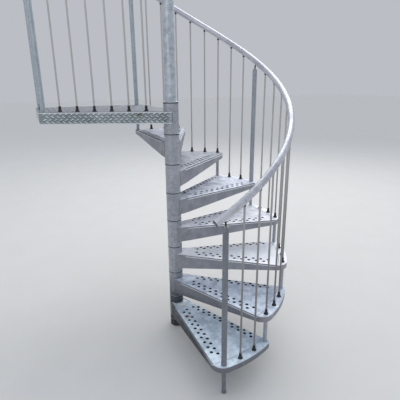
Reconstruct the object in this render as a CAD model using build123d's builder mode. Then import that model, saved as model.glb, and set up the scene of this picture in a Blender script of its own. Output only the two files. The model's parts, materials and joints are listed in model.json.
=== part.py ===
"""Galvanised steel spiral stair: seven treads on a column, a landing, a handrail and a guard.

Millimetres, +Z up. The origin is the centre of the base plate's underside, on the ground.
The first tread's front post stands on the +X axis, and the stair climbs counter-clockwise.
"""
import os
from math import atan, cos, degrees, pi, radians, sin, tan

from build123d import *

os.makedirs("parts", exist_ok=True)

# Storeys and steps
rise = 205.0
tread_count = 7
step_angle = 25.9
rods_per_tread = 3
middle_post_tread_count = 4
outer_radius = 815.0
rod_inset = 31.0

# Column
core_radius = 38.05
core_wall = 3.2
hub_radius = 50.8
hub_fit = 0.25
hub_above_tread = 54.0
ring_height = 6.0
ring_radius = 52.5
column_above_guard = 75.0
cap_thickness = 6.0
cap_overhang = 3.0
seat_gap = 0.2

# Foot plate, no wider than the hubs, with a hole for the anchor
base_radius = 52.0
base_thickness = 12.0
base_anchor_hole = 18.0

# Tread frame: two tapered cheeks and the rim that joins them
sheet = 5.0
cheek_depth_hub = 110.0
rim_depth = 40.0
front_splay = 0.9
rear_splay = -2.2
front_corner = 80.0
rear_corner = 24.0
rim_width = 58.0
rim_flange = 4.0
cheek_start = 15.0

# Tread plate: a folded tray that lies on the cheeks
plate_step = 8.0
plate_ledge = 5.0
plate_sheet = 4.0

# Landing
front_guard_angle = 246.0
guard_pitch = 113.5
guard_first_rod = 161.0
guard_bays = 6
end_guard_bays = 4
landing_skirt = 80.0
landing_sheet = 4.0
landing_corner = 12.0
rib_depth = 50.0
rib_width = 8.0
rib_count = 3
wall_bolt_spacing = 600.0
wall_bolt_hole = 13.0

# Guard and handrail
rail_radius = 21.2
rail_height = 945.0
rail_overrun = 59.0
rail_bend = 90.0
post_radius = 16.85
post_drop = 64.0
post_cap_height = 5.0
pin_radius = 5.0
pin_reach = 14.0
pin_bend = 10.0
rod_radius = 6.0
foot_radius = 15.0
foot_waist_radius = 9.5
foot_neck_radius = 8.5
foot_height = 36.0
foot_lip = 4.0
spacer_radius = 12.5
leg_foot_radius = 16.0
leg_foot_height = 5.0
end_cap_thickness = 4.0

# Flat sides that stand for a round section, so that the many like pieces stay light
column_sides = 24
tube_sides = 16
rod_sides = 8

# Values worked out from the sizes above
rod_circle = outer_radius - rod_inset
rod_angle = step_angle / rods_per_tread
rim_strip_radius = outer_radius - rim_width
landing_level = tread_count + 1
landing_z = landing_level * rise
landing_angle = tread_count * step_angle
rise_per_degree = rise / step_angle
rail_slope = degrees(atan(rise_per_degree / (radians(1) * rod_circle)))
rail_z_start = rise + rail_height
rail_overrun_angle = degrees(rail_overrun / rod_circle)
rail_underside = rail_radius / cos(radians(rail_slope))
guard_rail_z = landing_z + rail_height
column_top = guard_rail_z + column_above_guard
core_bottom = base_thickness
socket_top = hub_above_tread


def export(builder, label):
    """Labels a finished piece and writes its STEP file."""
    builder.part.label = label
    export_step(builder.part, f"parts/{label}.step")


def level_plane(level, drop=0.0):
    """The plane of a tread's top, turned so that its front post lies on local +X."""
    turned = Plane.XY.rotated((0, 0, (level - 1) * step_angle))
    return turned.offset(level * rise - drop)


def around(radius, angle, z=0.0):
    """A point given by its distance from the column and its angle."""
    return Vector(radius * cos(radians(angle)), radius * sin(radians(angle)), z)


def side_plane(level):
    """The upright plane along a tread's middle, with the tread's top at height 0."""
    heading = around(1, (level - 0.5) * step_angle)
    return Plane(origin=(0, 0, level * rise), x_dir=heading, z_dir=(heading.Y, -heading.X, 0))


def along_middle(reach):
    """How far along a tread's middle a point of its cheeks lies, `reach` from the column."""
    half = radians(step_angle / 2)
    return reach * cos(half) - hub_radius * sin(half)


def tube_ring(radius, bore):
    """Draws the section of one of the column's tubes."""
    RegularPolygon(radius, column_sides)
    RegularPolygon(bore, column_sides, mode=Mode.SUBTRACT)


def around_hub():
    """Draws the clearance round a hub, for what is fixed to it."""
    RegularPolygon(hub_radius + seat_gap, column_sides)


def edge_line(side, inset, along, splay, turn):
    """A point of a tread's front (side -1) or rear (side +1) edge, `along` from the column."""
    offset = side * (hub_radius - inset) + along * tan(radians(splay)) * side
    heading = Vector(cos(radians(turn)), sin(radians(turn)))
    across = Vector(-sin(radians(turn)), cos(radians(turn)))
    return heading * along + across * offset


def tread_outline(plane, inset):
    """Plan of a tread, drawn `inset` inside its outer faces, with its two outer corners rounded."""
    reach = outer_radius * 1.2
    with BuildSketch(plane) as outline:
        Circle(outer_radius - inset)
        with BuildLine():
            Polyline(
                edge_line(-1, inset, cheek_start, front_splay, 0),
                edge_line(-1, inset, reach, front_splay, 0),
                edge_line(1, inset, reach, rear_splay, step_angle),
                edge_line(1, inset, cheek_start, rear_splay, step_angle),
                close=True,
            )
        make_face(mode=Mode.INTERSECT)
        corners = outline.vertices().sort_by_distance(plane.origin)[-2:]
        front, rear = corners.sort_by(lambda v: plane.to_local_coords(v).Y)
        fillet(front, front_corner - inset)
        fillet(outline.vertices().sort_by_distance(rear)[0], rear_corner - inset)
    return outline.sketch


def rail_z(angle):
    """Height of the handrail's centreline at an angle round the column."""
    return rail_z_start + angle * rise_per_degree


def under_rail(angle):
    """The sloping plane that touches the handrail's underside, above a rod at this angle."""
    contact = around(rod_circle, angle, rail_z(angle) - rail_underside - seat_gap)
    slope = radians(rail_slope)
    uphill = Vector(-sin(radians(angle)), cos(radians(angle)), 0)
    normal = Vector(0, 0, cos(slope)) - uphill * sin(slope)
    return Plane(origin=contact, z_dir=normal)


# Foot plate with its anchor hole
with BuildPart() as base_plate:
    with BuildSketch():
        RegularPolygon(base_radius, column_sides)
        Circle(base_anchor_hole / 2, mode=Mode.SUBTRACT)
    extrude(amount=base_thickness)
export(base_plate, "base_plate")

# Core tube, the full height of the column
with BuildPart() as core_tube:
    with BuildSketch(Plane.XY.offset(core_bottom)):
        tube_ring(core_radius, core_radius - core_wall)
    extrude(amount=column_top - core_bottom)
export(core_tube, "core_tube")

with BuildPart() as column_cap:
    with BuildSketch(Plane.XY.offset(column_top)):
        RegularPolygon(core_radius + cap_overhang, column_sides)
    extrude(amount=cap_thickness)
    chamfer(column_cap.edges().group_by(Axis.Z)[-1], cap_thickness / 3)
export(column_cap, "column_cap")

# Socket that holds the foot of the core tube
with BuildPart() as base_socket:
    with BuildSketch(Plane.XY.offset(base_thickness)):
        tube_ring(hub_radius, core_radius + hub_fit)
    extrude(amount=socket_top - base_thickness)
export(base_socket, "base_socket")

# Collar at the bottom of each hub, and one on top of the landing's hub
with BuildPart() as hub_collars:
    for joint in range(landing_level + 1):
        with BuildSketch(Plane.XY.offset(joint * rise + hub_above_tread)):
            tube_ring(ring_radius, core_radius + hub_fit)
        extrude(amount=ring_height)
export(hub_collars, "hub_collars")

# Hub of each tread, threaded over the core tube
with BuildPart() as tread_hubs:
    for level in range(1, tread_count + 1):
        with BuildSketch(Plane.XY.offset((level - 1) * rise + hub_above_tread + ring_height)):
            tube_ring(hub_radius, core_radius + hub_fit)
        extrude(amount=rise - ring_height)
export(tread_hubs, "tread_hubs")

with BuildPart() as landing_hub:
    with BuildSketch(Plane.XY.offset(tread_count * rise + hub_above_tread + ring_height)):
        tube_ring(hub_radius, core_radius + hub_fit)
    extrude(amount=rise - ring_height)
export(landing_hub, "landing_hub")

# Treads
for level in range(1, tread_count + 1):
    top_plane = level_plane(level)
    outside = tread_outline(top_plane, 0)
    inside = tread_outline(top_plane, sheet)
    plate_outline = tread_outline(top_plane, plate_ledge)
    skirt_inside = tread_outline(top_plane, plate_ledge + plate_sheet)

    # Frame: the wall right round, cut down to the taper, with the rim's flange on top
    with BuildPart() as tread:
        extrude(outside, amount=-cheek_depth_hub)
        extrude(inside, amount=-cheek_depth_hub, mode=Mode.SUBTRACT)
        with BuildSketch(side_plane(level)):
            with BuildLine():
                Polyline(
                    (along_middle(hub_radius), -cheek_depth_hub),
                    (along_middle(outer_radius - front_corner), -rim_depth),
                    (2 * outer_radius, -rim_depth),
                    (2 * outer_radius, -cheek_depth_hub),
                    close=True,
                )
            make_face()
        extrude(amount=outer_radius, both=True, mode=Mode.SUBTRACT)
        extrude(outside, amount=-rim_flange)
        with BuildSketch(top_plane):
            Circle(rim_strip_radius)
        extrude(amount=-plate_step, mode=Mode.SUBTRACT)
        with BuildSketch():
            around_hub()
        extrude(amount=landing_z, mode=Mode.SUBTRACT)
    export(tread, f"tread_{level}")

    # Plate: sheet with its edges folded down onto the cheeks
    with BuildPart() as tread_plate:
        extrude(plate_outline, amount=-plate_step)
        extrude(skirt_inside, amount=-plate_step, mode=Mode.SUBTRACT)
        extrude(plate_outline, amount=-plate_sheet)
        with BuildSketch(top_plane):
            Circle(2 * outer_radius)
            Circle(rim_strip_radius - seat_gap, mode=Mode.SUBTRACT)
        extrude(amount=-plate_step, mode=Mode.SUBTRACT)
        with BuildSketch(Plane.XY.offset(level * rise)):
            around_hub()
        extrude(amount=-plate_step, mode=Mode.SUBTRACT)
    export(tread_plate, f"tread_plate_{level}")

# Landing plan: entry edge on the stair's side, wall edge, end edge and front edge
guard_heading = around(1, front_guard_angle)
guard_across = Vector(-guard_heading.Y, guard_heading.X)
guard_line_offset = hub_radius - rod_inset


def on_guard_line(along, z=0.0):
    """A point of the front guard, `along` from the column."""
    flat = guard_heading * along + guard_across * guard_line_offset
    return Vector(flat.X, flat.Y, z)


end_post = on_guard_line(guard_first_rod + guard_bays * guard_pitch)
wall_x = -outer_radius
end_y = end_post.Y - rod_inset
wall_post = Vector(wall_x + rod_inset, end_post.Y)
entry_heading = around(1, landing_angle - front_splay)
entry_across = Vector(-entry_heading.Y, entry_heading.X)


def landing_outline(plane, inset):
    """Plan of the landing, drawn `inset` inside its outer faces."""
    entry_start = entry_across * (inset - hub_radius)
    entry_run = (wall_x + inset - entry_start.X) / entry_heading.X
    entry_end = entry_start + entry_heading * entry_run
    front_start = guard_across * (hub_radius - inset)
    front_run = (end_y + inset - front_start.Y) / guard_heading.Y
    front_end = front_start + guard_heading * front_run
    with BuildSketch(plane) as outline:
        with BuildLine():
            Polyline(
                (entry_start.X, entry_start.Y),
                (entry_end.X, entry_end.Y),
                (wall_x + inset, end_y + inset),
                (front_end.X, front_end.Y),
                (front_start.X, front_start.Y),
                close=True,
            )
        make_face()
        far_corners = outline.vertices().sort_by_distance(plane.origin)[-3:]
        fillet(far_corners, landing_corner - inset)
    return outline.sketch


landing_plane = Plane.XY.offset(landing_z)
landing_under = Plane.XY.offset(landing_z - landing_sheet)
landing_outside = landing_outline(landing_plane, 0)

with BuildPart() as landing_plate:
    extrude(landing_outside, amount=-landing_sheet)
    with BuildSketch(landing_plane):
        around_hub()
    extrude(amount=-landing_sheet, mode=Mode.SUBTRACT)
export(landing_plate, "landing_plate")

skirt_drop = landing_skirt - landing_sheet
wall_bolt_mid_y = (end_y + hub_radius) / 2
with BuildPart() as landing_frame:
    extrude(landing_outline(landing_under, 0), amount=-skirt_drop)
    extrude(landing_outline(landing_under, sheet), amount=-skirt_drop, mode=Mode.SUBTRACT)
    with BuildSketch(landing_under):
        around_hub()
    extrude(amount=-skirt_drop, mode=Mode.SUBTRACT)
    wall_face = Plane(
        origin=(wall_x, wall_bolt_mid_y, landing_z - landing_skirt / 2),
        x_dir=(0, 1, 0),
        z_dir=(-1, 0, 0),
    )
    with BuildSketch(wall_face):
        with GridLocations(wall_bolt_spacing, 0, 2, 1):
            Circle(wall_bolt_hole / 2)
    extrude(amount=-2 * sheet, mode=Mode.SUBTRACT)
export(landing_frame, "landing_frame")

# Ribs under the landing's plate, from the entry side to the end
with BuildPart() as landing_ribs:
    for index in range(rib_count):
        rib_y = hub_radius - (index + 1) * (hub_radius - end_y) / (rib_count + 1)
        with BuildSketch(landing_under):
            with Locations((wall_x / 2, rib_y)):
                Rectangle(-wall_x, rib_width)
        extrude(amount=-rib_depth)
    extrude(landing_outline(landing_under, sheet + seat_gap), amount=-rib_depth, mode=Mode.INTERSECT)
    with BuildSketch(landing_under):
        around_hub()
    extrude(amount=-rib_depth, mode=Mode.SUBTRACT)
export(landing_ribs, "landing_ribs")

# Spacer tubes that join each tread's rear corner to the front corner of the one above
with BuildPart() as spacer_tubes:
    for level in range(1, tread_count + 1):
        spot = around(rod_circle, level * step_angle)
        thickness = rim_flange if level < tread_count else landing_sheet
        with BuildSketch(Plane.XY.offset(level * rise)):
            with Locations((spot.X, spot.Y)):
                RegularPolygon(spacer_radius, tube_sides)
        extrude(amount=rise - thickness)
export(spacer_tubes, "spacer_tubes")

# Leg under the first tread's front corner
with BuildPart() as ground_leg:
    with BuildSketch():
        with Locations((rod_circle, 0)):
            RegularPolygon(leg_foot_radius, tube_sides)
    extrude(amount=leg_foot_height)
    with BuildSketch():
        with Locations((rod_circle, 0)):
            RegularPolygon(spacer_radius, tube_sides)
    extrude(amount=rise - rim_flange)
export(ground_leg, "ground_leg")

# Posts: one at the foot of the stair, one half way, one at the landing's corner, two on the guard
stair_post_angles = {
    "first_post": 0,
    "middle_post": middle_post_tread_count * step_angle,
    "landing_post": landing_angle,
}
posts = {
    label: (around(rod_circle, angle), rise + angle * rise_per_degree, rail_z(angle))
    for label, angle in stair_post_angles.items()
}
posts["guard_end_post"] = (end_post, landing_z, guard_rail_z)
posts["guard_wall_post"] = (wall_post, landing_z, guard_rail_z)
for label, (spot, foot_z, rail_centre_z) in posts.items():
    with BuildPart() as post:
        with BuildSketch(Plane.XY.offset(foot_z)):
            with Locations((spot.X, spot.Y)):
                RegularPolygon(post_radius, tube_sides)
        extrude(amount=rail_centre_z - post_drop - foot_z)
    export(post, label)


def bent_pin(angle):
    """Route of a pin that rises from a stair post and meets the sloping handrail square on."""
    drop = (rail_radius + pin_reach) / cos(radians(rail_slope))
    foot = around(rod_circle, angle, rail_z(angle) - post_drop)
    bend = around(rod_circle, angle, rail_z(angle) - drop)
    return [foot, bend, bend + under_rail(angle).z_dir * (pin_reach - seat_gap)]


# Cap on each post, with the pin that carries the rail
with BuildPart() as post_caps:
    for label, (spot, foot_z, rail_centre_z) in posts.items():
        with BuildSketch(Plane.XY.offset(rail_centre_z - post_drop)):
            with Locations((spot.X, spot.Y)):
                RegularPolygon(post_radius, tube_sides)
        extrude(amount=post_cap_height)
        with BuildLine() as pin_path:
            if label in stair_post_angles:
                FilletPolyline(*bent_pin(stair_post_angles[label]), radius=pin_bend)
            else:
                foot = Vector(spot.X, spot.Y, rail_centre_z - post_drop)
                Line(foot, foot + Vector(0, 0, post_drop - rail_radius - seat_gap))
        with BuildSketch(Plane(origin=pin_path.line @ 0, z_dir=pin_path.line % 0)):
            RegularPolygon(pin_radius, rod_sides)
        sweep(path=pin_path.line)
export(post_caps, "post_caps")

# Rods of the stair, cut to the slope of the handrail
post_steps = [0, middle_post_tread_count * rods_per_tread]
rod_steps = [k for k in range(tread_count * rods_per_tread) if k not in post_steps]
for level in range(1, tread_count + 1):
    steps = [k for k in rod_steps if k // rods_per_tread == level - 1]
    with BuildPart() as balusters:
        for step in steps:
            spot = around(rod_circle, step * rod_angle)
            with BuildPart(mode=Mode.PRIVATE) as rod:
                with BuildSketch(Plane.XY.offset(level * rise)):
                    with Locations((spot.X, spot.Y)):
                        RegularPolygon(rod_radius, rod_sides)
                extrude(amount=rail_z(step * rod_angle) - level * rise)
                split(bisect_by=under_rail(step * rod_angle), keep=Keep.BOTTOM)
            add(rod.part)
    export(balusters, f"balusters_{level}")


# Flared foot of a rod, drawn at the origin, with the rod's bore through it
with BuildPart() as rod_foot:
    with BuildSketch():
        RegularPolygon(foot_radius, rod_sides)
    extrude(amount=foot_lip)
    for low, high, low_radius, high_radius in (
        (foot_lip, foot_height / 2, foot_radius, foot_waist_radius),
        (foot_height / 2, foot_height, foot_waist_radius, foot_neck_radius),
    ):
        with BuildSketch(Plane.XY.offset(low)):
            RegularPolygon(low_radius, rod_sides)
        with BuildSketch(Plane.XY.offset(high)):
            RegularPolygon(high_radius, rod_sides)
        loft(ruled=True)
    with BuildSketch():
        RegularPolygon(rod_radius + seat_gap, rod_sides)
    extrude(amount=foot_height, mode=Mode.SUBTRACT)


def add_feet(spots):
    """Adds a flared foot at each spot to the part being built."""
    with Locations(*spots):
        add(rod_foot.part)


with BuildPart() as baluster_feet:
    add_feet([
        around(rod_circle, step * rod_angle, (step // rods_per_tread + 1) * rise)
        for step in rod_steps
    ])
export(baluster_feet, "baluster_feet")

# Rods of the landing's guard
guard_rods = [on_guard_line(guard_first_rod + bay * guard_pitch, landing_z) for bay in range(guard_bays)]
end_run = (wall_post - end_post) / end_guard_bays
end_rods = [end_post + end_run * bay + Vector(0, 0, landing_z) for bay in range(1, end_guard_bays)]
with BuildPart() as guard_balusters:
    with BuildSketch(Plane.XY.offset(landing_z)):
        with Locations(*[(spot.X, spot.Y) for spot in guard_rods + end_rods]):
            RegularPolygon(rod_radius, rod_sides)
    extrude(amount=rail_height - rail_radius - seat_gap)
export(guard_balusters, "guard_balusters")

with BuildPart() as guard_feet:
    add_feet(guard_rods + end_rods)
export(guard_feet, "guard_feet")

# Handrail: a tube bent to the helix of the rods
rail_turn = landing_angle + 2 * rail_overrun_angle
rail_start_plane = Plane.XY.rotated((0, 0, -rail_overrun_angle)).offset(rail_z(-rail_overrun_angle))
rail_path = rail_start_plane * Helix(
    pitch=rise * 2 * pi / radians(step_angle),
    height=rail_turn * rise_per_degree,
    radius=rod_circle,
)
with BuildPart() as handrail:
    with BuildSketch(Plane(origin=rail_path @ 0, z_dir=rail_path % 0)):
        RegularPolygon(rail_radius, tube_sides)
    sweep(path=rail_path, is_frenet=True)
export(handrail, "handrail")

# Guard rail: from the column to the end post, round it and on to the wall
with BuildPart() as guard_rail:
    rail_start = on_guard_line(0, guard_rail_z)
    corner = Vector(end_post.X, end_post.Y, guard_rail_z)
    rail_end = Vector(wall_x, wall_post.Y, guard_rail_z)
    with BuildLine() as guard_path:
        FilletPolyline(rail_start, corner, rail_end, radius=rail_bend)
    with BuildSketch(Plane(origin=guard_path.line @ 0, z_dir=guard_path.line % 0)):
        RegularPolygon(rail_radius, tube_sides)
    sweep(path=guard_path.line)
    with BuildSketch(Plane.XY.offset(guard_rail_z - 2 * rail_radius)):
        RegularPolygon(core_radius + seat_gap, column_sides)
    extrude(amount=4 * rail_radius, mode=Mode.SUBTRACT)
export(guard_rail, "guard_rail")

# Plugs in the handrail's ends
with BuildPart() as rail_end_caps:
    for end, facing in ((0, -1), (1, 1)):
        with BuildSketch(Plane(origin=rail_path @ end, z_dir=(rail_path % end) * facing)):
            RegularPolygon(rail_radius, tube_sides)
        extrude(amount=end_cap_thickness)
export(rail_end_caps, "rail_end_caps")
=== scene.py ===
"""Looks of a galvanised steel spiral stair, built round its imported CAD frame.

Metres, +Z up. The origin is the centre of the foot plate's underside. The first tread's front
post stands on the +X axis, and the stair climbs counter-clockwise.
"""

import json
from functools import partial
from math import acos, atan, atan2, cos, pi, radians, sin, sqrt, tan

import bmesh
import bpy
from mathutils import Matrix, Vector, noise
from mathutils.geometry import delaunay_2d_cdt


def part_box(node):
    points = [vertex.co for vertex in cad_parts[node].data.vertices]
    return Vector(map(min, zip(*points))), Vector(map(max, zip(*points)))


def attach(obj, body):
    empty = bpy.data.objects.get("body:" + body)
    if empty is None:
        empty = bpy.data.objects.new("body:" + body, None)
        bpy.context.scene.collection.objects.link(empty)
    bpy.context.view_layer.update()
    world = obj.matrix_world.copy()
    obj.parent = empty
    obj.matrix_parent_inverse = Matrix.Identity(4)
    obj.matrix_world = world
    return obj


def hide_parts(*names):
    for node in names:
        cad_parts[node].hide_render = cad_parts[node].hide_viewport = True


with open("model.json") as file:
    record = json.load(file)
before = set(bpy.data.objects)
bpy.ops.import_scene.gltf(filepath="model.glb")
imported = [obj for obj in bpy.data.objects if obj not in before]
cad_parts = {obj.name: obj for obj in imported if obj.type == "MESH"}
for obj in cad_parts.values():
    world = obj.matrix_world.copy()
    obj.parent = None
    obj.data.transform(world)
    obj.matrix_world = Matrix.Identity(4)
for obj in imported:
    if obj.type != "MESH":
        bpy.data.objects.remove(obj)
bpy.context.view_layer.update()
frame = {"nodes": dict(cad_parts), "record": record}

UP = Vector((0, 0, 1))
IN_PLACE = Matrix.Identity(4)
EDGES = ("front", "rear")

# Sizes of the stair, as built
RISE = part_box("tread_plate_1")[1].z
TREAD_COUNT = 7
LEVELS = range(1, TREAD_COUNT + 1)
STEP_ANGLE = radians(25.9)
TREAD_RODS = 3
MIDDLE_POST_TREADS = 4
OUTER_RADIUS = 0.815
ROD_INSET = 0.031
ROD_CIRCLE = OUTER_RADIUS - ROD_INSET
LANDING_Z = (TREAD_COUNT + 1) * RISE
LANDING_ANGLE = TREAD_COUNT * STEP_ANGLE
RISE_PER_RADIAN = RISE / STEP_ANGLE
SLOPE = atan(RISE_PER_RADIAN / ROD_CIRCLE)

# Column
CORE_RADIUS = 0.03805
CORE_BORE = 0.03485
HUB_RADIUS = 0.0508
HUB_BORE = 0.0383
HUB_ABOVE = 0.054
COLLAR_RADIUS = 0.0525
COLLAR_HEIGHT = 0.006
# The seam rings are near-black bands just under each collar, painted as the joint's shadow
SEAM_PROUD = 0.0005
SEAM_BELOW = 0.006
SEAM_ABOVE = 0.0004
FOOT_PLATE_RADIUS = 0.052
FOOT_PLATE_BORE = 0.009
FOOT_PLATE_TOP = 0.012
CORE_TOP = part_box("core_tube")[1].z
LID_LAP = 0.003

# Treads
CHEEK_START = 0.015
CHEEK_DEPTH = 0.11
RIM_DEPTH = 0.04
SHEET = 0.005
FRONT_SPLAY = radians(0.9)
REAR_SPLAY = radians(-2.2)
FRONT_CORNER = 0.08
REAR_CORNER = 0.024
STRIP_RADIUS = 0.757
FLANGE = 0.004
LEDGE_START = 0.095
PLATE_LEDGE = 0.005
PLATE_STEP = 0.008
PLATE_SHEET = 0.004
PLATE_CLEARANCE = 0.0002
EDGE_ROUND = 0.0011

# Perforations of a tread, in rows along its edges: (edge, distance in from it, how far along it the
# first hole is, number of holes)
HOLE_PITCH = 0.0522
HOLE_RADIUS = 0.0108
HOLE_ROWS = (
    ("front", 0.04, 0.186, 10),
    ("front", 0.072, 0.161, 11),
    ("rear", 0.044, 0.171, 11),
    ("rear", 0.0186, 0.202, 10),
)

# Guard and handrail
RAIL_RADIUS = 0.0212
RAIL_HEIGHT = 0.945
RAIL_OVERRUN = 0.059
RAIL_BEND = 0.09
POST_RADIUS = 0.01685
PIN_RADIUS = 0.005
PIN_REACH = 0.014
PIN_BEND = 0.01
ROD_RADIUS = 0.006
SPACER_RADIUS = 0.0125
WASHER_BORE = 0.008
WASHER_LAP = 0.0035
WASHER_HEIGHT = 0.0018
LEG_FOOT_RADIUS = 0.016
GUARD_ANGLE = radians(246)
GUARD_PITCH = 0.1135
GUARD_FIRST_ROD = 0.161
GUARD_BAYS = 6
END_GUARD_BAYS = 4
GUARD_RAIL_Z = LANDING_Z + RAIL_HEIGHT
GUARD_RAIL_START = 0.03
ROSETTE_RADIUS = 0.0305
ROSETTE_DEPTH = 0.005

# Nuts, as (width across the flats, height)
ROD_NUT = (0.013, 0.0065)
SPACER_NUT = (0.017, 0.008)
POST_NUT = (0.019, 0.01)
WALL_NUT = (0.019, 0.008)

# Landing
WALL_X = -OUTER_RADIUS
ENTRY_ANGLE = LANDING_ANGLE - FRONT_SPLAY
SKIRT_DEPTH = 0.08
LANDING_CORNER = 0.012
WALL_BOLT_SPACING = 0.60
TEAR_HEIGHT = 0.0012


# Places


def around(radius, angle, z=0.0):
    """A point given by its distance from the column and its angle."""
    return Vector((radius * cos(angle), radius * sin(angle), z))


def turns(count):
    """Equal steps round a full turn."""
    return [2 * pi * i / count for i in range(count)]


def rail_z(angle):
    """Height of the handrail's centreline at an angle round the column."""
    return RISE + RAIL_HEIGHT + angle * RISE_PER_RADIAN


def headings(angle):
    """The directions out from the column at an angle, and to the left of that, in plan."""
    ahead = around(1, angle).to_2d()
    return ahead, Vector((-ahead.y, ahead.x))


def on_guard_line(along, z=0.0):
    """A point of the landing's front guard, along from the column."""
    ahead, left = headings(GUARD_ANGLE)
    return (ahead * along + left * (HUB_RADIUS - ROD_INSET)).to_3d() + UP * z


def upright(spot):
    """The place of something that stands at a spot."""
    return Matrix.Translation(spot)


def facing(spot, direction):
    """The place of something at a spot whose local Z axis points in a direction."""
    return Matrix.Translation(spot) @ direction.to_track_quat("Z", "Y").to_matrix().to_4x4()


def tread_place(level):
    """The place of a tread, whose plan is drawn with its front post on local +X."""
    return Matrix.Translation((0, 0, level * RISE)) @ Matrix.Rotation((level - 1) * STEP_ANGLE, 4, "Z")


end_post = on_guard_line(GUARD_FIRST_ROD + GUARD_BAYS * GUARD_PITCH)
wall_post = Vector((WALL_X + ROD_INSET, end_post.y, 0))
post_steps = (0, MIDDLE_POST_TREADS * TREAD_RODS)
rod_steps = [k for k in range(TREAD_COUNT * TREAD_RODS) if k not in post_steps]
step_turn = STEP_ANGLE / TREAD_RODS
guard_spots = [on_guard_line(GUARD_FIRST_ROD + bay * GUARD_PITCH, LANDING_Z) for bay in range(GUARD_BAYS)]
guard_spots += [
    end_post.lerp(wall_post, bay / END_GUARD_BAYS) + UP * LANDING_Z for bay in range(1, END_GUARD_BAYS)
]


def rod_spot(step):
    """Where a rod of the stair stands."""
    return around(ROD_CIRCLE, step * step_turn, (step // TREAD_RODS + 1) * RISE)


# Forms


class Shape:
    """Gathers the points and faces of one piece."""

    def __init__(self):
        self.points = []
        self.faces = []

    def add(self, points, faces):
        """Adds points with faces that count from the first of them."""
        base = len(self.points)
        self.points += [Vector(p) for p in points]
        self.faces += [tuple(base + i for i in face) for face in faces]

    def add_loops(self, loops, closed=True, capped=False):
        """Joins a row of equally long loops with quads, and may cap the first and the last."""
        count = len(loops[0])
        steps = count if closed else count - 1
        faces = [
            (low + i, low + (i + 1) % count, low + count + (i + 1) % count, low + count + i)
            for low in range(0, (len(loops) - 1) * count, count)
            for i in range(steps)
        ]
        self.add([p for loop in loops for p in loop], faces)
        for loop in (loops[0], loops[-1]) if capped else ():
            self.add_disc(loop)

    def add_strip(self, loops):
        """Joins open rows, the last of them on the first, and closes the two ends."""
        self.add_loops(loops, closed=False)
        for end in (0, -1):
            self.add_disc([loop[end] for loop in loops[:-1]])

    def add_disc(self, loop):
        """Closes a loop with one flat face."""
        self.add(loop, [tuple(range(len(loop)))])


def shapes(count):
    """Empty shapes, this many."""
    return [Shape() for _ in range(count)]


def put_in_scene(name, data):
    """A new object of the scene."""
    made = bpy.data.objects.new(name, data)
    bpy.context.scene.collection.objects.link(made)
    return made


def build(name, shape, material, slot, *replaces, smooth=40):
    """Turns a shape into an object that rides on the stair."""
    mesh = bpy.data.meshes.new(name)
    mesh.from_pydata(shape.points, [], shape.faces)
    mesh.materials.append(material)
    work = bmesh.new()
    work.from_mesh(mesh)
    bmesh.ops.remove_doubles(work, verts=work.verts, dist=1e-6)
    bmesh.ops.recalc_face_normals(work, faces=work.faces)
    work.to_mesh(mesh)
    work.free()
    mesh.shade_smooth()
    mesh.set_sharp_from_angle(angle=radians(smooth))
    piece = put_in_scene(name, mesh)
    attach(piece, "root")
    if replaces:
        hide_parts(*replaces)


def turned(shape, profile, place=IN_PLACE, count=48, capped=True):
    """Adds a profile of (radius, height), spun about the local Z axis of place."""
    loops = [[place @ around(radius, turn, z) for turn in turns(count)] for radius, z in profile]
    shape.add_loops(loops, capped=capped)


def sleeve(shape, bore, radius, low, high, ease, place=IN_PLACE, count=72):
    """Adds a ring or tube with eased outer edges."""
    profile = (
        (bore, low), (radius - ease, low), (radius, low + ease), (radius, high - ease),
        (radius - ease, high), (bore, high), (bore, low),
    )
    turned(shape, profile, place, count, capped=False)


def bar(shape, radius, low, high, place, ease=0.0005, count=24):
    """Adds a solid round bar with eased ends."""
    profile = ((radius - ease, low), (radius, low + ease), (radius, high - ease), (radius - ease, high))
    turned(shape, profile, place, count)


def tube(shape, path, radius, count):
    """Adds a round tube along a path of points; radius is one number or one for each point."""
    radii = radius if isinstance(radius, list) else [radius] * len(path)
    first = path[1] - path[0]
    side = first.cross(Vector((0.3, 0.2, 1)) if abs(first.normalized().z) < 0.9 else Vector((1, 0, 0)))
    loops = []
    for i, point in enumerate(path):
        ahead = (path[min(i + 1, len(path) - 1)] - path[max(i - 1, 0)]).normalized()
        side = (side - ahead * side.dot(ahead)).normalized()
        over = ahead.cross(side)
        loops.append([point + radii[i] * (cos(turn) * side + sin(turn) * over) for turn in turns(count)])
    shape.add_loops(loops, capped=True)


BEAD_RADIUS = 0.0035
BEAD_SIDES = 10
RIPPLE_STEPS = 4
RING_STEPS = 40
NUT_WASHER = 0.0016


def weld_bead(shape, first, last):
    """Adds a rippled bead of weld between two points."""
    steps = RIPPLE_STEPS * max(3, int((last - first).length / (BEAD_RADIUS * 0.9)))
    points = [first.lerp(last, i / steps) for i in range(steps + 1)]
    radii = [
        BEAD_RADIUS * (0.86 + 0.14 * cos(2 * pi * i / RIPPLE_STEPS) + 0.12 * noise.noise(point * 90))
        for i, point in enumerate(points)
    ]
    tube(shape, points, radii, BEAD_SIDES)


def round_bead(shape, spot, reach, radius):
    """Adds a lumpy ring of weld round an upright bar, at a reach from its axis."""
    loops = []
    for i in range(RING_STEPS + 1):
        angle = 2 * pi * i / RING_STEPS
        out = around(1, angle)
        swell = radius * (0.9 + 0.18 * cos(angle * 10) + 0.3 * noise.noise(spot * 40 + out * 2))
        loops.append([
            spot + out * (reach + swell * cos(turn)) + UP * (swell * sin(turn))
            for turn in turns(BEAD_SIDES)
        ])
    shape.add_loops(loops)


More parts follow.
